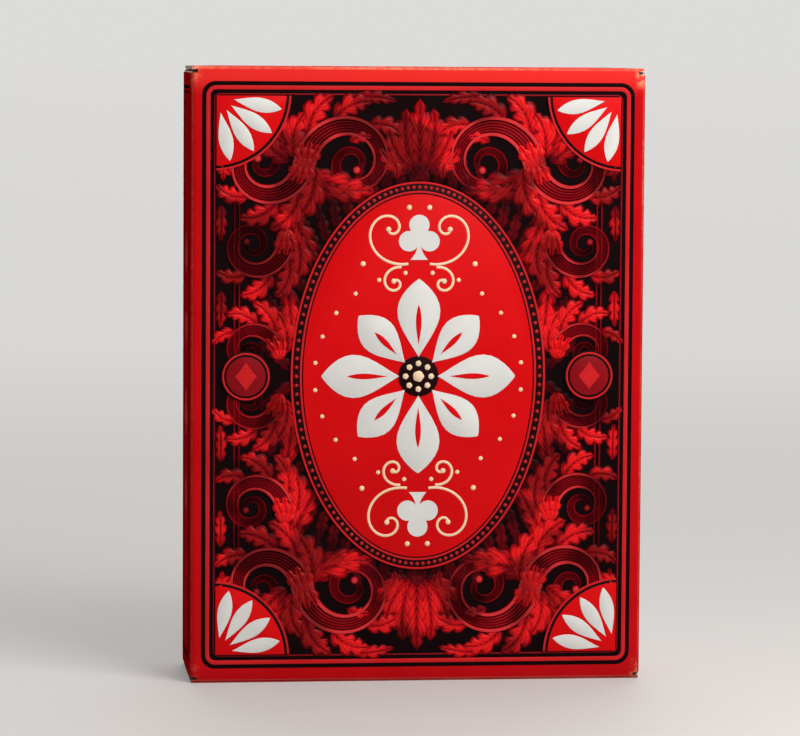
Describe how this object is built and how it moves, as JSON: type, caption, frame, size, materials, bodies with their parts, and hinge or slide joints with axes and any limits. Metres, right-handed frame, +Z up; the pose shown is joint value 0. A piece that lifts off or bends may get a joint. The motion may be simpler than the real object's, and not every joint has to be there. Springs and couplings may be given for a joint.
{
  "type": "playing card deck",
  "caption": "Standard playing card deck in a printed paperboard tuck case; the lid, tongue and dust flaps fold open and the cards slide up in a fan.",
  "frame": {"origin": "middle of the case's bottom, on the surface that it stands on", "axes": "+Z up, +X to the right and -Y towards the viewer of the lid-fold panel, which is the front"},
  "size_m": [0.0672, 0.0192, 0.0909],
  "materials": {
    "case_board": "satin varnish",
    "card_stock": "smooth coated"
  },
  "bodies": {
    "case": {"case_sleeve": "case_board", "case_bottom": "case_board"},
    "lid": {"lid_panel": "case_board"},
    "tongue": {"tuck_tongue": "case_board"},
    "left_flap": {"dust_flap_left": "case_board"},
    "right_flap": {"dust_flap_right": "case_board"},
    "joker_one": {"joker_one": "card_stock"},
    "ace_of_spades": {"ace_of_spades": "card_stock"},
    "two_of_spades": {"two_of_spades": "card_stock"},
    "three_of_spades": {"three_of_spades": "card_stock"},
    "four_of_spades": {"four_of_spades": "card_stock"},
    "five_of_spades": {"five_of_spades": "card_stock"},
    "six_of_spades": {"six_of_spades": "card_stock"},
    "seven_of_spades": {"seven_of_spades": "card_stock"},
    "eight_of_spades": {"eight_of_spades": "card_stock"},
    "nine_of_spades": {"nine_of_spades": "card_stock"},
    "ten_of_spades": {"ten_of_spades": "card_stock"},
    "jack_of_spades": {"jack_of_spades": "card_stock"},
    "queen_of_spades": {"queen_of_spades": "card_stock"},
    "king_of_spades": {"king_of_spades": "card_stock"},
    "ace_of_diamonds": {"ace_of_diamonds": "card_stock"},
    "two_of_diamonds": {"two_of_diamonds": "card_stock"},
    "three_of_diamonds": {"three_of_diamonds": "card_stock"},
    "four_of_diamonds": {"four_of_diamonds": "card_stock"},
    "five_of_diamonds": {"five_of_diamonds": "card_stock"},
    "six_of_diamonds": {"six_of_diamonds": "card_stock"},
    "seven_of_diamonds": {"seven_of_diamonds": "card_stock"},
    "eight_of_diamonds": {"eight_of_diamonds": "card_stock"},
    "nine_of_diamonds": {"nine_of_diamonds": "card_stock"},
    "ten_of_diamonds": {"ten_of_diamonds": "card_stock"},
    "jack_of_diamonds": {"jack_of_diamonds": "card_stock"},
    "queen_of_diamonds": {"queen_of_diamonds": "card_stock"},
    "king_of_diamonds": {"king_of_diamonds": "card_stock"},
    "ace_of_clubs": {"ace_of_clubs": "card_stock"},
    "two_of_clubs": {"two_of_clubs": "card_stock"},
    "three_of_clubs": {"three_of_clubs": "card_stock"},
    "four_of_clubs": {"four_of_clubs": "card_stock"},
    "five_of_clubs": {"five_of_clubs": "card_stock"},
    "six_of_clubs": {"six_of_clubs": "card_stock"},
    "seven_of_clubs": {"seven_of_clubs": "card_stock"},
    "eight_of_clubs": {"eight_of_clubs": "card_stock"},
    "nine_of_clubs": {"nine_of_clubs": "card_stock"},
    "ten_of_clubs": {"ten_of_clubs": "card_stock"},
    "jack_of_clubs": {"jack_of_clubs": "card_stock"},
    "queen_of_clubs": {"queen_of_clubs": "card_stock"},
    "king_of_clubs": {"king_of_clubs": "card_stock"},
    "ace_of_hearts": {"ace_of_hearts": "card_stock"},
    "two_of_hearts": {"two_of_hearts": "card_stock"},
    "three_of_hearts": {"three_of_hearts": "card_stock"},
    "four_of_hearts": {"four_of_hearts": "card_stock"},
    "five_of_hearts": {"five_of_hearts": "card_stock"},
    "six_of_hearts": {"six_of_hearts": "card_stock"},
    "seven_of_hearts": {"seven_of_hearts": "card_stock"},
    "eight_of_hearts": {"eight_of_hearts": "card_stock"},
    "nine_of_hearts": {"nine_of_hearts": "card_stock"},
    "ten_of_hearts": {"ten_of_hearts": "card_stock"},
    "jack_of_hearts": {"jack_of_hearts": "card_stock"},
    "queen_of_hearts": {"queen_of_hearts": "card_stock"},
    "king_of_hearts": {"king_of_hearts": "card_stock"},
    "joker_two": {"joker_two": "card_stock"}
  },
  "joints": [
    {"name": "lid_hinge", "type": "hinge", "parent": "case", "child": "lid", "pos_m": [0, -0.00964, 0.09045], "axis": [1, 0, 0], "range_deg": [0, 150]},
    {"name": "tongue_crease", "type": "hinge", "parent": "lid", "child": "tongue", "pos_m": [0, 0.00834, 0.09045], "axis": [1, 0, 0], "range_deg": [-37.5, 0]},
    {"name": "left_flap_fold", "type": "hinge", "parent": "case", "child": "left_flap", "pos_m": [-0.03365, 0, 0.08995], "axis": [0, -1, 0], "range_deg": [0, 105]},
    {"name": "right_flap_fold", "type": "hinge", "parent": "case", "child": "right_flap", "pos_m": [0.03365, 0, 0.08995], "axis": [0, 1, 0], "range_deg": [0, 105]},
    {"name": "joker_one_slide", "type": "slide", "parent": "case", "child": "joker_one", "axis": [0, 0, 1], "range_m": [0, 0.00524]},
    {"name": "ace_of_spades_slide", "type": "slide", "parent": "case", "child": "ace_of_spades", "axis": [0, 0, 1], "range_m": [0, 0.00534]},
    {"name": "two_of_spades_slide", "type": "slide", "parent": "case", "child": "two_of_spades", "axis": [0, 0, 1], "range_m": [0, 0.00545]},
    {"name": "three_of_spades_slide", "type": "slide", "parent": "case", "child": "three_of_spades", "axis": [0, 0, 1], "range_m": [0, 0.00556]},
    {"name": "four_of_spades_slide", "type": "slide", "parent": "case", "child": "four_of_spades", "axis": [0, 0, 1], "range_m": [0, 0.00567]},
    {"name": "five_of_spades_slide", "type": "slide", "parent": "case", "child": "five_of_spades", "axis": [0, 0, 1], "range_m": [0, 0.00578]},
    {"name": "six_of_spades_slide", "type": "slide", "parent": "case", "child": "six_of_spades", "axis": [0, 0, 1], "range_m": [0, 0.00589]},
    {"name": "seven_of_spades_slide", "type": "slide", "parent": "case", "child": "seven_of_spades", "axis": [0, 0, 1], "range_m": [0, 0.006]},
    {"name": "eight_of_spades_slide", "type": "slide", "parent": "case", "child": "eight_of_spades", "axis": [0, 0, 1], "range_m": [0, 0.00611]},
    {"name": "nine_of_spades_slide", "type": "slide", "parent": "case", "child": "nine_of_spades", "axis": [0, 0, 1], "range_m": [0, 0.00622]},
    {"name": "ten_of_spades_slide", "type": "slide", "parent": "case", "child": "ten_of_spades", "axis": [0, 0, 1], "range_m": [0, 0.00632]},
    {"name": "jack_of_spades_slide", "type": "slide", "parent": "case", "child": "jack_of_spades", "axis": [0, 0, 1], "range_m": [0, 0.00643]},
    {"name": "queen_of_spades_slide", "type": "slide", "parent": "case", "child": "queen_of_spades", "axis": [0, 0, 1], "range_m": [0, 0.00654]},
    {"name": "king_of_spades_slide", "type": "slide", "parent": "case", "child": "king_of_spades", "axis": [0, 0, 1], "range_m": [0, 0.00665]},
    {"name": "ace_of_diamonds_slide", "type": "slide", "parent": "case", "child": "ace_of_diamonds", "axis": [0, 0, 1], "range_m": [0, 0.00676]},
    {"name": "two_of_diamonds_slide", "type": "slide", "parent": "case", "child": "two_of_diamonds", "axis": [0, 0, 1], "range_m": [0, 0.00687]},
    {"name": "three_of_diamonds_slide", "type": "slide", "parent": "case", "child": "three_of_diamonds", "axis": [0, 0, 1], "range_m": [0, 0.00698]},
    {"name": "four_of_diamonds_slide", "type": "slide", "parent": "case", "child": "four_of_diamonds", "axis": [0, 0, 1], "range_m": [0, 0.00708]},
    {"name": "five_of_diamonds_slide", "type": "slide", "parent": "case", "child": "five_of_diamonds", "axis": [0, 0, 1], "range_m": [0, 0.00719]},
    {"name": "six_of_diamonds_slide", "type": "slide", "parent": "case", "child": "six_of_diamonds", "axis": [0, 0, 1], "range_m": [0, 0.0073]},
    {"name": "seven_of_diamonds_slide", "type": "slide", "parent": "case", "child": "seven_of_diamonds", "axis": [0, 0, 1], "range_m": [0, 0.00741]},
    {"name": "eight_of_diamonds_slide", "type": "slide", "parent": "case", "child": "eight_of_diamonds", "axis": [0, 0, 1], "range_m": [0, 0.00752]},
    {"name": "nine_of_diamonds_slide", "type": "slide", "parent": "case", "child": "nine_of_diamonds", "axis": [0, 0, 1], "range_m": [0, 0.00763]},
    {"name": "ten_of_diamonds_slide", "type": "slide", "parent": "case", "child": "ten_of_diamonds", "axis": [0, 0, 1], "range_m": [0, 0.00774]},
    {"name": "jack_of_diamonds_slide", "type": "slide", "parent": "case", "child": "jack_of_diamonds", "axis": [0, 0, 1], "range_m": [0, 0.00784]},
    {"name": "queen_of_diamonds_slide", "type": "slide", "parent": "case", "child": "queen_of_diamonds", "axis": [0, 0, 1], "range_m": [0, 0.00795]},
    {"name": "king_of_diamonds_slide", "type": "slide", "parent": "case", "child": "king_of_diamonds", "axis": [0, 0, 1], "range_m": [0, 0.00806]},
    {"name": "ace_of_clubs_slide", "type": "slide", "parent": "case", "child": "ace_of_clubs", "axis": [0, 0, 1], "range_m": [0, 0.00817]},
    {"name": "two_of_clubs_slide", "type": "slide", "parent": "case", "child": "two_of_clubs", "axis": [0, 0, 1], "range_m": [0, 0.00828]},
    {"name": "three_of_clubs_slide", "type": "slide", "parent": "case", "child": "three_of_clubs", "axis": [0, 0, 1], "range_m": [0, 0.00839]},
    {"name": "four_of_clubs_slide", "type": "slide", "parent": "case", "child": "four_of_clubs", "axis": [0, 0, 1], "range_m": [0, 0.0085]},
    {"name": "five_of_clubs_slide", "type": "slide", "parent": "case", "child": "five_of_clubs", "axis": [0, 0, 1], "range_m": [0, 0.0086]},
    {"name": "six_of_clubs_slide", "type": "slide", "parent": "case", "child": "six_of_clubs", "axis": [0, 0, 1], "range_m": [0, 0.00871]},
    {"name": "seven_of_clubs_slide", "type": "slide", "parent": "case", "child": "seven_of_clubs", "axis": [0, 0, 1], "range_m": [0, 0.00882]},
    {"name": "eight_of_clubs_slide", "type": "slide", "parent": "case", "child": "eight_of_clubs", "axis": [0, 0, 1], "range_m": [0, 0.00893]},
    {"name": "nine_of_clubs_slide", "type": "slide", "parent": "case", "child": "nine_of_clubs", "axis": [0, 0, 1], "range_m": [0, 0.00904]},
    {"name": "ten_of_clubs_slide", "type": "slide", "parent": "case", "child": "ten_of_clubs", "axis": [0, 0, 1], "range_m": [0, 0.00915]},
    {"name": "jack_of_clubs_slide", "type": "slide", "parent": "case", "child": "jack_of_clubs", "axis": [0, 0, 1], "range_m": [0, 0.00926]},
    {"name": "queen_of_clubs_slide", "type": "slide", "parent": "case", "child": "queen_of_clubs", "axis": [0, 0, 1], "range_m": [0, 0.00937]},
    {"name": "king_of_clubs_slide", "type": "slide", "parent": "case", "child": "king_of_clubs", "axis": [0, 0, 1], "range_m": [0, 0.00948]},
    {"name": "ace_of_hearts_slide", "type": "slide", "parent": "case", "child": "ace_of_hearts", "axis": [0, 0, 1], "range_m": [0, 0.00958]},
    {"name": "two_of_hearts_slide", "type": "slide", "parent": "case", "child": "two_of_hearts", "axis": [0, 0, 1], "range_m": [0, 0.00969]},
    {"name": "three_of_hearts_slide", "type": "slide", "parent": "case", "child": "three_of_hearts", "axis": [0, 0, 1], "range_m": [0, 0.0098]},
    {"name": "four_of_hearts_slide", "type": "slide", "parent": "case", "child": "four_of_hearts", "axis": [0, 0, 1], "range_m": [0, 0.00991]},
    {"name": "five_of_hearts_slide", "type": "slide", "parent": "case", "child": "five_of_hearts", "axis": [0, 0, 1], "range_m": [0, 0.01002]},
    {"name": "six_of_hearts_slide", "type": "slide", "parent": "case", "child": "six_of_hearts", "axis": [0, 0, 1], "range_m": [0, 0.01013]},
    {"name": "seven_of_hearts_slide", "type": "slide", "parent": "case", "child": "seven_of_hearts", "axis": [0, 0, 1], "range_m": [0, 0.01023]},
    {"name": "eight_of_hearts_slide", "type": "slide", "parent": "case", "child": "eight_of_hearts", "axis": [0, 0, 1], "range_m": [0, 0.01034]},
    {"name": "nine_of_hearts_slide", "type": "slide", "parent": "case", "child": "nine_of_hearts", "axis": [0, 0, 1], "range_m": [0, 0.01045]},
    {"name": "ten_of_hearts_slide", "type": "slide", "parent": "case", "child": "ten_of_hearts", "axis": [0, 0, 1], "range_m": [0, 0.01056]},
    {"name": "jack_of_hearts_slide", "type": "slide", "parent": "case", "child": "jack_of_hearts", "axis": [0, 0, 1], "range_m": [0, 0.01067]},
    {"name": "queen_of_hearts_slide", "type": "slide", "parent": "case", "child": "queen_of_hearts", "axis": [0, 0, 1], "range_m": [0, 0.01078]},
    {"name": "king_of_hearts_slide", "type": "slide", "parent": "case", "child": "king_of_hearts", "axis": [0, 0, 1], "range_m": [0, 0.01089]},
    {"name": "joker_two_slide", "type": "slide", "parent": "case", "child": "joker_two", "axis": [0, 0, 1], "range_m": [0, 0.01099]}
  ],
  "couplings": [
    {"joint": "lid_hinge", "follows": "joker_two_slide", "rad_per_m": 238.1},
    {"joint": "tongue_crease", "follows": "joker_two_slide", "rad_per_m": -59.524},
    {"joint": "left_flap_fold", "follows": "joker_two_slide", "rad_per_m": 166.67},
    {"joint": "right_flap_fold", "follows": "joker_two_slide", "rad_per_m": 166.67},
    {"joint": "joker_one_slide", "follows": "joker_two_slide", "ratio": 0.47619},
    {"joint": "ace_of_spades_slide", "follows": "joker_two_slide", "ratio": 0.48607},
    {"joint": "two_of_spades_slide", "follows": "joker_two_slide", "ratio": 0.49596},
    {"joint": "three_of_spades_slide", "follows": "joker_two_slide", "ratio": 0.50584},
    {"joint": "four_of_spades_slide", "follows": "joker_two_slide", "ratio": 0.51572},
    {"joint": "five_of_spades_slide", "follows": "joker_two_slide", "ratio": 0.52561},
    {"joint": "six_of_spades_slide", "follows": "joker_two_slide", "ratio": 0.53549},
    {"joint": "seven_of_spades_slide", "follows": "joker_two_slide", "ratio": 0.54537},
    {"joint": "eight_of_spades_slide", "follows": "joker_two_slide", "ratio": 0.55526},
    {"joint": "nine_of_spades_slide", "follows": "joker_two_slide", "ratio": 0.56514},
    {"joint": "ten_of_spades_slide", "follows": "joker_two_slide", "ratio": 0.57502},
    {"joint": "jack_of_spades_slide", "follows": "joker_two_slide", "ratio": 0.58491},
    {"joint": "queen_of_spades_slide", "follows": "joker_two_slide", "ratio": 0.59479},
    {"joint": "king_of_spades_slide", "follows": "joker_two_slide", "ratio": 0.60467},
    {"joint": "ace_of_diamonds_slide", "follows": "joker_two_slide", "ratio": 0.61455},
    {"joint": "two_of_diamonds_slide", "follows": "joker_two_slide", "ratio": 0.62444},
    {"joint": "three_of_diamonds_slide", "follows": "joker_two_slide", "ratio": 0.63432},
    {"joint": "four_of_diamonds_slide", "follows": "joker_two_slide", "ratio": 0.64421},
    {"joint": "five_of_diamonds_slide", "follows": "joker_two_slide", "ratio": 0.65409},
    {"joint": "six_of_diamonds_slide", "follows": "joker_two_slide", "ratio": 0.66397},
    {"joint": "seven_of_diamonds_slide", "follows": "joker_two_slide", "ratio": 0.67385},
    {"joint": "eight_of_diamonds_slide", "follows": "joker_two_slide", "ratio": 0.68374},
    {"joint": "nine_of_diamonds_slide", "follows": "joker_two_slide", "ratio": 0.69362},
    {"joint": "ten_of_diamonds_slide", "follows": "joker_two_slide", "ratio": 0.7035},
    {"joint": "jack_of_diamonds_slide", "follows": "joker_two_slide", "ratio": 0.71339},
    {"joint": "queen_of_diamonds_slide", "follows": "joker_two_slide", "ratio": 0.72327},
    {"joint": "king_of_diamonds_slide", "follows": "joker_two_slide", "ratio": 0.73315},
    {"joint": "ace_of_clubs_slide", "follows": "joker_two_slide", "ratio": 0.74304},
    {"joint": "two_of_clubs_slide", "follows": "joker_two_slide", "ratio": 0.75292},
    {"joint": "three_of_clubs_slide", "follows": "joker_two_slide", "ratio": 0.7628},
    {"joint": "four_of_clubs_slide", "follows": "joker_two_slide", "ratio": 0.77269},
    {"joint": "five_of_clubs_slide", "follows": "joker_two_slide", "ratio": 0.78257},
    {"joint": "six_of_clubs_slide", "follows": "joker_two_slide", "ratio": 0.79245},
    {"joint": "seven_of_clubs_slide", "follows": "joker_two_slide", "ratio": 0.80234},
    {"joint": "eight_of_clubs_slide", "follows": "joker_two_slide", "ratio": 0.81222},
    {"joint": "nine_of_clubs_slide", "follows": "joker_two_slide", "ratio": 0.8221},
    {"joint": "ten_of_clubs_slide", "follows": "joker_two_slide", "ratio": 0.83199},
    {"joint": "jack_of_clubs_slide", "follows": "joker_two_slide", "ratio": 0.84187},
    {"joint": "queen_of_clubs_slide", "follows": "joker_two_slide", "ratio": 0.85175},
    {"joint": "king_of_clubs_slide", "follows": "joker_two_slide", "ratio": 0.86164},
    {"joint": "ace_of_hearts_slide", "follows": "joker_two_slide", "ratio": 0.87152},
    {"joint": "two_of_hearts_slide", "follows": "joker_two_slide", "ratio": 0.8814},
    {"joint": "three_of_hearts_slide", "follows": "joker_two_slide", "ratio": 0.89128},
    {"joint": "four_of_hearts_slide", "follows": "joker_two_slide", "ratio": 0.90117},
    {"joint": "five_of_hearts_slide", "follows": "joker_two_slide", "ratio": 0.91105},
    {"joint": "six_of_hearts_slide", "follows": "joker_two_slide", "ratio": 0.92093},
    {"joint": "seven_of_hearts_slide", "follows": "joker_two_slide", "ratio": 0.93082},
    {"joint": "eight_of_hearts_slide", "follows": "joker_two_slide", "ratio": 0.9407},
    {"joint": "nine_of_hearts_slide", "follows": "joker_two_slide", "ratio": 0.95058},
    {"joint": "ten_of_hearts_slide", "follows": "joker_two_slide", "ratio": 0.96047},
    {"joint": "jack_of_hearts_slide", "follows": "joker_two_slide", "ratio": 0.97035},
    {"joint": "queen_of_hearts_slide", "follows": "joker_two_slide", "ratio": 0.98023},
    {"joint": "king_of_hearts_slide", "follows": "joker_two_slide", "ratio": 0.99012}
  ]
}
